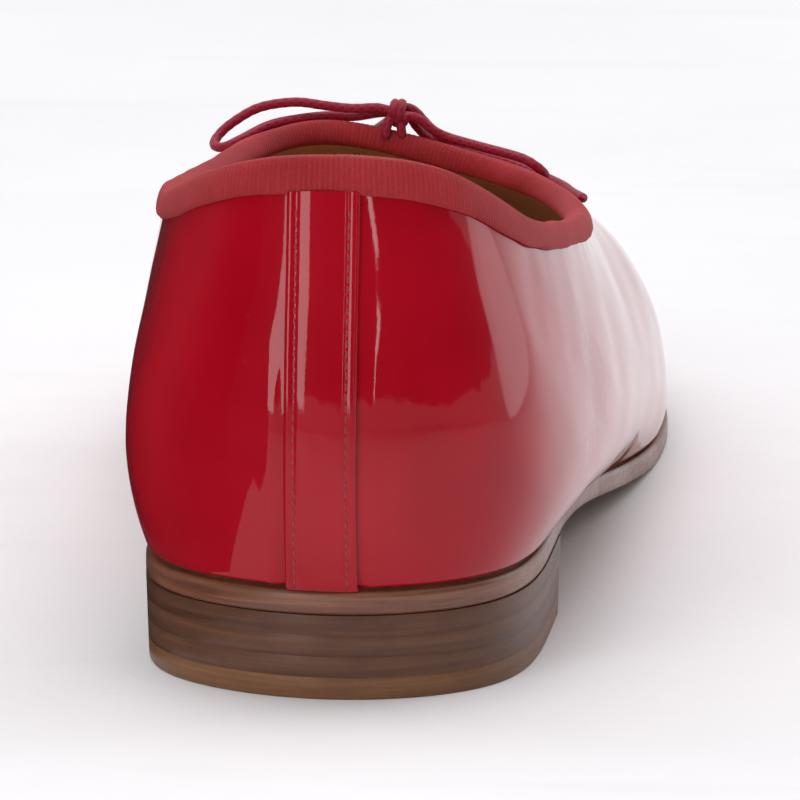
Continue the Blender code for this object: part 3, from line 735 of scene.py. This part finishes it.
def make_knot():
    """The strand wrapped twice round the crossing of the bow."""
    first, last = KNOT_TURNS
    turns = np.linspace(first, last, 90)
    angle = 2 * math.pi * turns
    x = KNOT_SPREAD * (turns - 0.95) / 1.6 + 0.00025 * np.sin(angle + 0.6)
    start = smooth_step((first + KNOT_TUCK - turns) / KNOT_TUCK)
    end = smooth_step((turns - last + KNOT_TUCK) / KNOT_TUCK)
    inwards = 1 - 0.45 * (start + end)
    y = -KNOT_WRAP * 1.05 * inwards * np.cos(angle)
    z = KNOT_WRAP * 1.10 * inwards * np.sin(angle)
    line = knot_middle() + np.stack([x, y, z], axis=1)
    points, faces, uv = tube(line, CORD / 2 * KNOT_FAT, CORD_SIDES, BRAID_RELIEF)
    return mesh_piece("bow_knot_wrap", points, faces, CORD_COAT, ("bow_knot",), uv)


bow_knot = make_knot()
make_lace("lace_outer_loop", (RISE_LEFT, LOOP_OUTER, KNOT_TURN, TAIL_INNER),
          ("bow_loop_outer", "bow_tail_inner"))
make_lace("lace_inner_loop", (RISE_RIGHT, LOOP_INNER, TAIL_OUTER),
          ("bow_loop_inner", "bow_tail_outer"))


# Upper

UPPER_COLUMNS = 480
UPPER_LEVELS = 64
LEATHER = 0.0012         # the patent leather's share of the wall
TUCK = 0.0006            # how far the leather turns in over the sole
TUCK_LEVEL = 0.022       # the v below which it does
SMOOTH_BEND = 50         # degrees up to which an edge is shaded smooth

# Shallow creases and ripples: t and v of the middle, lengths along t and v, depth in millimetres, and slant
Crease = namedtuple("Crease", "t v along up depth slant")
CREASES = tuple(Crease(*row) for row in (
    # ripples of the outer quarter, where the opening's edge draws it in
    (0.105, 0.70, 0.010, 0.22, 0.16, 0.05),
    (0.128, 0.66, 0.008, 0.20, -0.10, 0.06),
    (0.160, 0.62, 0.012, 0.26, 0.15, 0.08),
    (0.205, 0.58, 0.010, 0.22, 0.10, 0.06),
    (0.262, 0.60, 0.012, 0.24, 0.14, 0.04),
    # bending creases over the ball, outer and inner side
    (0.352, 0.46, 0.007, 0.26, 0.26, -0.03),
    (0.376, 0.52, 0.006, 0.22, 0.20, -0.04),
    (0.402, 0.58, 0.006, 0.18, 0.14, -0.04),
    (0.640, 0.44, 0.007, 0.26, 0.26, 0.03),
    (0.664, 0.50, 0.007, 0.24, 0.20, 0.04),
    # inner waist
    (0.770, 0.60, 0.012, 0.26, 0.14, -0.05),
    (0.835, 0.58, 0.011, 0.24, 0.12, -0.06),
    (0.893, 0.60, 0.008, 0.22, 0.10, -0.04),
))
# Long soft swells of the leather: amplitude in millimetres, waves round the shoe, waves up the wall, phase
SWELLS = ((0.045, 13, 1.6, 0.4), (0.030, 23, -2.3, 2.1), (0.010, 37, 3.4, 4.0))
PUCKER = 0.00002         # under the binding's seam
PUCKER_PITCH = 0.0110
PUCKER_DRIFT = 0.047     # the length over which the pitch wanders
PUCKER_REACH = 0.0035
SEAM_SWELL = 0.00018     # beside the back strip
SEAM_FADE = (0.42, 0.66) # the levels between which the swell dies away


def relief(t, v):
    """How far the leather stands out of the last's smooth wall, for a grid of t by v."""
    tt, vv = np.meshgrid(t, v, indexing="ij")
    out = np.zeros(tt.shape)
    for crease in CREASES:
        off = (tt - crease.t + 0.5) % 1.0 - 0.5 - crease.slant * (vv - crease.v)
        out -= crease.depth * MM * np.exp(-(off / crease.along) ** 2 - ((vv - crease.v) / crease.up) ** 2)
    for amplitude, around, up, phase in SWELLS:
        wave = np.sin(2 * math.pi * (around * tt + up * vv) + phase)
        out += amplitude * MM * wave * np.sin(math.pi * vv) ** 0.5
    arc = np.interp(np.mod(t, 1.0), RULER_T, RULER_EDGE)[:, None]
    drift = 1.7 * np.sin(2 * math.pi * arc / PUCKER_DRIFT) + 0.8 * np.sin(41 * arc)
    beat = np.sin(2 * math.pi * arc / PUCKER_PITCH + drift)
    below_tape = np.clip(drop_at(t, v) - tape_drop(t)[:, None], 0, None)
    out += PUCKER * beat * np.exp(-below_tape / PUCKER_REACH)
    return out


def strip_offset(t, v):
    """Signed distance from the back strip's middle line, along the level line, for a grid of t by v."""
    signed = (np.asarray(t) + 0.5) % 1.0 - 0.5
    return signed[:, None] * speed_at_back(v)[None, :] - STRIP_SHIFT


def beside_strip(t, v):
    """The leather draws in at the strip's edges and swells a little beyond them."""
    away = np.abs(strip_offset(t, v)) - STRIP_WIDTH / 2
    swell = SEAM_SWELL * np.exp(-((away - 0.0021) / 0.0011) ** 2)
    draw = 1.1 * SEAM_SWELL * np.exp(-((away - 0.0002) / 0.0008) ** 2)
    start, end = SEAM_FADE
    return (swell - draw) * (1 - smooth_step((np.asarray(v) - start) / (end - start)))


def tuck(v):
    """How far the leather turns in over the sole at v."""
    u = np.clip((TUCK_LEVEL - v) / TUCK_LEVEL, 0, 1)
    return TUCK * (1 - np.sqrt(1 - u**2))


def make_upper():
    t = np.arange(UPPER_COLUMNS) / UPPER_COLUMNS
    v_out = np.concatenate([np.linspace(0, TUCK_LEVEL, 6)[:-1], np.linspace(TUCK_LEVEL, 1.0, UPPER_LEVELS)])
    v_in = np.linspace(1.0, 0.0, 14)
    depth = tuck(v_out)[None, :] - relief(t, v_out) - beside_strip(t, v_out)
    outer = at_depth(t[:, None], v_out[None, :], depth)
    inner = at_depth(t[:, None], v_in[None, :], np.full((len(t), len(v_in)), LEATHER))
    points = np.concatenate([outer, inner], axis=1)
    return closed_grid("upper_leather", points, PATENT, ("upper",), sharp=SMOOTH_BEND)


LINING_COLUMNS = 300
LINING_TOP = 0.985       # the v at which the lining ends, under the binding
WRINKLE = 0.00008        # depth of the lining's fine wrinkles
LINING_GAP = 0.00006     # between lining and leather


def make_lining():
    t = np.arange(LINING_COLUMNS) / LINING_COLUMNS
    v_in = np.linspace(0.0, LINING_TOP, 40)
    v_back = np.linspace(LINING_TOP, 0.0, 10)
    waves = np.sin(2 * math.pi * (37 * t[:, None] + 2 * v_in[None, :]))
    wrinkle = WRINKLE * waves * np.sin(math.pi * v_in)[None, :]
    inner = at_depth(t[:, None], v_in[None, :], WALL + wrinkle)
    outer = at_depth(t[:, None], v_back[None, :], np.full((len(t), len(v_back)), LEATHER + LINING_GAP))
    points = np.concatenate([inner, outer], axis=1)
    return closed_grid("upper_lining", points, LINING, (), inside_out=True,
                       sharp=SMOOTH_BEND)


make_upper()
make_lining()


# Binding

RIB = 0.00072            # pitch of the tape's ribs
PER_RIB = 4
RIB_DEPTH = 0.00006
FULL_RIB = 0.5           # how far off the wall, in millimetres, the ribs have their full depth
# Half profiles: distance below the edge and how far the tape stands off the wall, in millimetres
BINDING_OUT = ((4.42, 0.02), (4.48, 0.30), (4.34, 0.56), (3.92, 0.80), (3.30, 0.96), (2.50, 1.02),
               (1.60, 1.02), (0.60, 0.96))
BINDING_IN = ((0.60, 0.78), (1.40, 0.80), (2.20, 0.76), (2.90, 0.66), (3.35, 0.48), (3.55, 0.26),
              (3.58, 0.04))
HEM_BELOW = 4            # the hem sags further down than this, in millimetres
ROOF_ANGLES = (28, 50, 72, 94, 116, 138, 158)
ROOF_HEIGHT = 0.00088
SKIN = 0.00002           # between the tape's hidden underside and the wall


def make_binding():
    ribs = round(EDGE_LENGTH / RIB)
    count = ribs * PER_RIB
    arc = EDGE_LENGTH * np.arange(count) / count
    t = np.interp(arc, RULER_EDGE, RULER_T)
    rib = RIB_DEPTH * (0.5 * np.cos(2 * math.pi * np.arange(count) / PER_RIB) - 0.2)
    sag = 0.00011 * np.sin(2 * math.pi * arc / 0.031 + 0.7) + 0.00007 * np.sin(2 * math.pi * arc / 0.0128)
    plump = 1 + 0.05 * np.sin(2 * math.pi * arc / 0.043) + 0.03 * np.sin(2 * math.pi * arc / 0.0171 + 2.0)
    edge = wall(t, np.ones(count))
    normal = wall_normals(t, np.ones(count))
    up = edge - wall(t, level_below_edge(t, tape_drop(t) / 2))
    up /= np.linalg.norm(up, axis=1)[:, None]

    def stand(off):
        return off * MM * plump + rib * min(1.0, off / FULL_RIB)

    columns = []
    reach = tape_drop(t) / BINDING_DROP
    for drop, off in BINDING_OUT:
        column = at_depth(t, level_below_edge(t, drop * MM * reach), -stand(off))
        if drop > HEM_BELOW:
            column = column - up * sag[:, None]
        columns.append(column)
    out_off = stand(BINDING_OUT[-1][1])
    in_off = stand(BINDING_IN[0][1])
    height = ROOF_HEIGHT * plump + rib
    for angle in np.radians(ROOF_ANGLES):
        share = (1 - math.cos(angle)) / 2
        half = WALL / 2 + out_off * (1 - share) + in_off * share
        columns.append(edge - normal * WALL / 2 + normal * (half * math.cos(angle))[:, None]
                       + up * (height * math.sin(angle))[:, None])
    for drop, off in BINDING_IN:
        columns.append(at_depth(t, level_below_edge(t, drop * MM), WALL + stand(off)))
    # hidden underside, against the leather
    for drop, depth in ((2.5, WALL + SKIN), (0.2, WALL + SKIN), (0.2, -SKIN), (2.5, -SKIN)):
        columns.append(at_depth(t, level_below_edge(t, drop * MM), np.full(count, depth)))
    points = np.stack(columns, axis=1)
    across = run(points[0]) / MM
    across = np.append(across, across[-1] + 1.0)
    return closed_grid("binding_tape", points, TAPE, ("topline_binding",), uv_across=across,
                       uv_round=PER_RIB)


make_binding()


# Back strip

STRIP_ROWS = 120
STRIP_THICK = 0.00078
STRIP_LOW = -0.004       # the v of its lower end, just below the upper's
STRIP_ROLL = 0.00050     # how far in its edges are rounded
STRIP_UNDER = 0.00012    # how deep its back lies in the leather
STRIP_HIDDEN = 0.0006    # how far its upper end runs in under the binding
STITCH_IN = 0.00150      # from the strip's edge to its stitches
STITCH_PITCH = 0.00150
STITCH_LENGTH = 0.00112
STITCH_RADIUS = 0.00016
STITCH_LOW = 0.012       # the v of the lowest stitch
STITCH_CLEAR = 0.0004    # from the binding to the highest stitch
STITCH_POINTS = 9


def strip_rise(x):
    """The strip's thickness at x across it: rolled edges and a groove along each row of stitches."""
    half = STRIP_WIDTH / 2
    into = np.clip((np.abs(x) - (half - STRIP_ROLL)) / STRIP_ROLL, 0, 1)
    body = STRIP_THICK * (0.30 + 0.70 * np.sqrt(1 - into**2))
    groove = 0.00017 * np.exp(-((np.abs(x) - (half - STITCH_IN)) / 0.00030) ** 2)
    pillow = 0.00006 * np.clip(1 - (x / (half - STITCH_IN)) ** 2, 0, 1)
    lip = 0.00005 * np.exp(-((np.abs(x) - (half - 0.00062)) / 0.00034) ** 2)
    return body - groove + pillow + lip


def strip_points(x, v, rise):
    """Points on the back strip, x across it from its middle line and rise off the leather."""
    return at_depth(column_at_back(x + STRIP_SHIFT, v), v, -np.asarray(rise))


def make_strip():
    half = STRIP_WIDTH / 2
    x = half * np.sin(np.linspace(-math.pi / 2, math.pi / 2, 41))
    top = float(level_below_edge(np.zeros(1), BINDING_DROP - STRIP_HIDDEN)[0])
    v = np.linspace(STRIP_LOW, top, STRIP_ROWS)
    rings = []
    for level in v:
        waver = 0.00002 * math.sin(23 * level) + 0.000004 * math.sin(71 * level)
        over = strip_points(x, np.full(len(x), level), strip_rise(x) + waver - 0.6 * float(tuck(level)))
        under = strip_points(x[::-1] * 0.985, np.full(len(x), level), np.full(len(x), -STRIP_UNDER))
        rings.append(np.concatenate([over, under]))
    sides = len(rings[0])
    faces, corner_i, corner_j = ring_faces(len(rings), sides)
    uv = np.stack([corner_i / len(rings), corner_j / sides], axis=-1).reshape(-1, 2)
    uv = np.concatenate([uv, np.zeros((2 * sides, 2))])
    all_faces = [*map(tuple, faces[:, ::-1]), *cap_faces(len(rings), sides)]
    return mesh_piece("back_strip_leather", np.concatenate(rings), all_faces, PATENT_STRIP,
                      ("back_strip",), uv, sharp=40)


def stitch_row(line, normals):
    """Small curved stitches along a line, each dipping into the leather at its ends, as tubes."""
    along = run(line)
    arch = np.sin(np.linspace(0, math.pi, STITCH_POINTS))
    for middle in np.arange(STITCH_PITCH / 2, along[-1] - STITCH_PITCH / 2, STITCH_PITCH):
        at = np.linspace(middle - STITCH_LENGTH / 2, middle + STITCH_LENGTH / 2, STITCH_POINTS)
        centre = np.stack([np.interp(at, along, line[:, k]) for k in range(3)], axis=1)
        normal = np.stack([np.interp(middle, along, normals[:, k]) for k in range(3)])
        yield tube(centre + normal * (STITCH_RADIUS * (1.5 * arch - 0.9))[:, None], STITCH_RADIUS, 8)


def make_stitches():
    top = float(level_below_edge(np.zeros(1), BINDING_DROP + STITCH_CLEAR)[0])
    v = np.linspace(STITCH_LOW, top, 200)
    points, faces, start = [], [], 0
    for side in (-1, 1):
        x = np.full(len(v), side * (STRIP_WIDTH / 2 - STITCH_IN))
        line = strip_points(x, v, strip_rise(x))
        normals = wall_normals(column_at_back(x + STRIP_SHIFT, v), v)
        for body, body_faces, _ in stitch_row(line, normals):
            points.append(body)
            faces += [tuple(start + k for k in face) for face in body_faces]
            start += len(body)
    return mesh_piece("back_strip_stitches", np.concatenate(points), faces, THREAD)


make_strip()
make_stitches()


# Sole, insole and heel

SOLE_HALF = 150          # points of the outline on each side, from heel back to toe tip
SOLE_RUNGS = 24          # cells across the faces


def slab(name, profile, low, coat, replaced, top_relief=None):
    """A plate over the outline: rings at each (inset, height over the lower face), then its two faces."""
    half = SOLE_HALF
    toe = LAST.knots[TOE_ROW]
    outer_side = toe * np.arange(1, half) / half
    inner_side = 1 - (1 - toe) * np.arange(half - 1, 0, -1) / half
    t = np.concatenate([[0.0], outer_side, [toe], inner_side])
    count = len(t)
    rings = []
    for inset, height in profile:
        plan, _ = outline_at(t, inset)
        rings.append(np.column_stack([plan, low(plan[:, 1]) + height]))
    faces = [tuple(face) for face in ring_faces(len(rings), count)[0]]
    points = list(np.concatenate(rings))
    for ring, flip, is_top in ((0, True, False), (len(rings) - 1, False, True)):
        base = ring * count
        grid = np.zeros((half + 1, SOLE_RUNGS + 1), int)
        share = np.linspace(0, 1, SOLE_RUNGS + 1)
        for i in range(half + 1):
            outer = base + i
            inner = base + (count - i) % count
            grid[i, 0] = outer
            grid[i, -1] = inner
            a = points[outer]
            b = points[inner]
            for j in range(1, SOLE_RUNGS):
                if i in (0, half):
                    grid[i, j] = outer
                    continue
                point = a * (1 - share[j]) + b * share[j]
                if is_top and top_relief is not None:
                    point = point + [0, 0, top_relief(share[j], point[1])]
                points.append(point)
                grid[i, j] = len(points) - 1
        for i in range(half):
            for j in range(SOLE_RUNGS):
                face = []
                for corner in (grid[i, j], grid[i + 1, j], grid[i + 1, j + 1], grid[i, j + 1]):
                    if corner not in face:
                        face.append(int(corner))
                if len(face) > 2:
                    faces.append(tuple(face[::-1]) if flip else tuple(face))
    return mesh_piece(name, np.array(points), faces, coat, replaced, sharp=60)


# Rounded edges from the lower face to the upper one: inset from the outline and height, in metres
SOLE_PROFILE = ((0.0011, 0.0), (0.00050, 0.00004), (0.00018, 0.00022), (0.00002, 0.0006), (0.0, 0.0012),
                (0.0, 0.0024), (0.00004, 0.0029), (0.00020, 0.0032), (0.00050, 0.00336), (0.0010, 0.0034))
INSOLE_PROFILE = ((0.0, 0.0), (-0.00035, 0.0007), (-0.00040, 0.0014), (-0.0002, 0.0020), (0.0005, 0.00240),
                  (0.0014, 0.0025))
INSOLE_IN = SOLE_MARGIN + WALL + 3 * GAP
INSOLE_LIFT = 0.00005    # off the outsole


def insole_relief(share, y):
    """The sock's soft crown, dished at the heel."""
    across = 1 - (2 * share - 1) ** 2
    dish = math.exp(-((y - 0.030) / 0.022) ** 2)
    ball = math.exp(-((y - 0.165) / 0.030) ** 2)
    return across * (0.0005 - 0.0011 * dish - 0.0007 * ball)


def make_soles():
    slab("outsole_leather", SOLE_PROFILE, tread_height, SOLE_COAT, ("outsole",))
    slab("insole_sock", tuple((INSOLE_IN + inset, height + INSOLE_LIFT) for inset, height in INSOLE_PROFILE),
         seat_height, INSOLE_COAT, ("insole",), insole_relief)


def heel_outline(inset, rounds=181, breast_points=19):
    """The outsole's outline behind the heel breast, moved inwards by inset, and the hollow breast itself."""
    t = np.linspace(-0.5, 0.5, 4001)
    plan, _ = outline_at(t, 0.0)
    back = t[plan[:, 1] < HEEL_LENGTH]
    ring, _ = outline_at(np.linspace(back[0], back[-1], rounds), inset)
    share = np.linspace(0, 1, breast_points + 2)[1:-1, None]
    breast = ring[-1] * (1 - share) + ring[0] * share
    breast[:, 1] -= BREAST_HOLLOW * 4 * (share * (1 - share))[:, 0]
    return np.concatenate([ring, breast])


def heel_layer(name, low, high, rounding, coat, replaced):
    """One layer of the heel, its edges eased by rounding (below, above)."""
    below, above = rounding
    levels = ((low, below), (low + 0.35 * below, 0.30 * below), (low + below, 0.0),
              (high - above, 0.0), (high - 0.35 * above, 0.30 * above), (high, above))
    rings = []
    for height, inset in levels:
        plan = heel_outline(inset + HEEL_TAPER * (1 - height / HEEL_STACK))
        rings.append(np.column_stack([plan, np.full(len(plan), height)]))
    count = len(rings[0])
    faces = [*map(tuple, ring_faces(len(rings), count)[0]), *cap_faces(len(rings), count)]
    return mesh_piece(name, np.concatenate(rings), faces, coat, replaced, sharp=35)


HEEL_SEAM = 0.000004     # between two layers
WEAR_EDGES = (0.00035, 0.00004)
LIFT_EDGES = (0.00002, 0.00002)


def make_heel():
    heel_layer("heel_wear_layer", 0.0, TOP_PIECE - HEEL_SEAM, WEAR_EDGES, TOP_PIECE_COAT,
               ("heel_top_piece",))
    for number, lift_coat in enumerate(LIFT_COATS):
        low = TOP_PIECE + number * LIFT
        heel_layer(f"heel_leather_{number + 1}", low, low + LIFT - HEEL_SEAM, LIFT_EDGES, lift_coat,
                   (f"heel_lift_{number + 1}",))


make_soles()
make_heel()


# Floor, backdrop and light

FLOOR_REACH = 7.5
DOME_RADIUS = 7.4


def stage_mesh(name, points, faces, coat):
    """A mesh round the shoe, which is no part of it."""
    mesh = bpy.data.meshes.new(name)
    mesh.from_pydata(points, [], faces)
    mesh.materials.append(coat)
    obj = bpy.data.objects.new(name, mesh)
    bpy.context.scene.collection.objects.link(obj)
    return obj


def hide_from(obj, *rays):
    for ray in rays:
        setattr(obj, f"visible_{ray}", False)


def make_floor():
    """A pale floor with cloudy marks, and painted shade that makes it darker toward the camera and a little
    greyer beyond the shoe.
    """
    made, tree, shader = new_material("pale floor")
    here = place(tree)
    cloud = noise(tree, here, 5.5, 5.0, 0.6)
    rub = noise(tree, place(tree, (6, 38, 1), (0, 0, 0.3)), 1.0, 5.0, 0.65)
    grey = mix(tree, spread(tree, cloud, 0.35, 0.7), (0.84, 0.834, 0.836), (0.90, 0.894, 0.900))
    grey = mix(tree, spread(tree, rub, 0.56, 0.75, 0.0, 0.30), grey, (0.74, 0.735, 0.735))
    along = split(tree, here)["Y"]
    # painted shade: the floor's colour darkens toward the camera
    grey = mix(tree, spread(tree, along, -0.11, -1.0, 0.0, 0.80), grey, (0.42, 0.415, 0.415))
    # painted shade: the floor's colour greys beyond the shoe
    grey = mix(tree, spread(tree, along, 0.25, 0.90, 0.0, 0.50), grey, (0.765, 0.765, 0.775))
    grit = bump(tree, noise(tree, here, 260.0, 4.0, 0.6), 0.0003, 0.35)
    set_all(shader, {"Base Color": grey, "Roughness": 0.75, "Normal": grit, "Specular IOR Level": 0.2})
    corners = [(x * FLOOR_REACH, y * FLOOR_REACH, 0) for x, y in ((-1, -1), (1, -1), (1, 1), (-1, 1))]
    floor = stage_mesh("floor", corners, [(0, 1, 2, 3)], made)


def area_light(name, place_at, aim, size, power, lean=0.0, mirrored=True):
    """A panel that faces aim, turned by lean degrees in its own plane. Reflections show it if mirrored."""
    data = bpy.data.lights.new(name, "AREA")
    data.shape = "RECTANGLE"
    data.size, data.size_y = size
    data.energy = power
    light = bpy.data.objects.new(name, data)
    light.location = place_at
    light.rotation_mode = "QUATERNION"
    upright = (Vector(aim) - Vector(place_at)).to_track_quat("-Z", "Y")
    light.rotation_quaternion = upright @ Quaternion((0, 0, 1), math.radians(lean))
    light.visible_camera = False
    light.visible_glossy = mirrored
    bpy.context.scene.collection.objects.link(light)


def around(azimuth, distance, height):
    """A place at an azimuth from straight behind the shoe (0) to its outer side (90)."""
    a = math.radians(azimuth)
    return (distance * math.sin(a), -distance * math.cos(a), height)


def make_lights():
    heel = (0.0, -0.02, 0.05)
    area_light("overhead", (0.1, 0.35, 2.3), (0, 0.08, 0), (1.9, 1.9), 17.5)
    area_light("fill behind", around(-22, 2.4, 1.5), heel, (2.4, 1.8), 20.0, mirrored=False)
    area_light("tall strip", around(-32, 2.2, 0.55), heel, (0.78, 0.72), 7.8)
    area_light("thin strip", around(21.5, 2.4, 0.56), heel, (0.105, 0.60), 1.3, lean=-22)


# Corners of the dark card on the floor, and the ends of its upright part
CARD = ((-6.0, 0.14), (-6.0, -7.0), (-0.033, -0.026), (-0.029, -0.008), (-0.030, 0.14))
CARD_UPRIGHT = ((-0.052, -0.045), (-0.052, 0.14))
CARD_OFF_FLOOR = 0.0005
CARD_HEIGHT = 0.078


def make_card():
    """A dark card low on the shoe's inner side, which only the shoe's reflections show."""
    made, _, shader = new_material("dark card")
    set_all(shader, {"Base Color": (0.01, 0.01, 0.01, 1.0), "Roughness": 0.9})
    flat = [(x, y, CARD_OFF_FLOOR) for x, y in CARD]
    upright = [(x, y, z) for z in (2 * CARD_OFF_FLOOR, CARD_HEIGHT) for x, y in CARD_UPRIGHT]
    card = stage_mesh("dark card", flat + upright, [(0, 1, 2, 3, 4), (5, 6, 8, 7)], made)
    hide_from(card, "camera", "diffuse", "shadow", "transmission", "volume_scatter")


def make_world():
    """A pale wall beyond the shoe and a pale ceiling, and a dark room behind with a low pale band."""
    world = bpy.data.worlds.new("studio")
    world.use_nodes = True
    tree = world.node_tree
    background = tree.nodes["Background"]
    here = node(tree, "ShaderNodeTexCoord").outputs["Generated"]
    parts = split(tree, here)

    def ragged(value, scale, detail, reach):
        blots = calculate(tree, "SUBTRACT", noise(tree, here, scale, detail), 0.5)
        return plus(tree, value, times(tree, blots, reach))

    wall_beyond = spread(tree, ragged(parts["Y"], 5.0, 2.0, 0.16), 0.27, 0.33, 0.030, 1.0)
    wall_beyond = times(tree, wall_beyond, spread(tree, parts["Y"], 0.50, 0.92, 1.95, 0.48))
    ceiling = times(tree, spread(tree, parts["Z"], 0.55, 0.85), 0.75)
    band = spread(tree, ragged(parts["Z"], 4.0, 4.0, 0.12), 0.094, 0.102, 0.58, 0.0)
    band = times(tree, band, spread(tree, parts["X"], -0.66, -0.64))
    strength = calculate(tree, "MAXIMUM", calculate(tree, "MAXIMUM", wall_beyond, ceiling), band)
    set_all(background, {"Color": (0.990, 0.985, 1.015, 1.0), "Strength": strength})
    bpy.context.scene.world = world


def make_backdrop():
    """A pale dome for the camera alone."""
    made = bpy.data.materials.new("pale backdrop")
    made.use_nodes = True
    tree = made.node_tree
    tree.nodes.remove(tree.nodes["Principled BSDF"])
    glow = node(tree, "ShaderNodeEmission", {"Color": (0.90, 0.90, 0.895, 1.0), "Strength": 1.0})
    tree.links.new(glow.outputs[0], tree.nodes["Material Output"].inputs["Surface"])
    bpy.ops.mesh.primitive_uv_sphere_add(segments=48, ring_count=24, radius=DOME_RADIUS)
    dome = bpy.context.object
    dome.name = "backdrop"
    dome.data.materials.append(made)
    hide_from(dome, "diffuse", "glossy", "transmission", "volume_scatter", "shadow")


make_floor()
make_backdrop()
make_card()
make_lights()
make_world()
bpy.context.scene.view_settings.view_transform = "Standard"
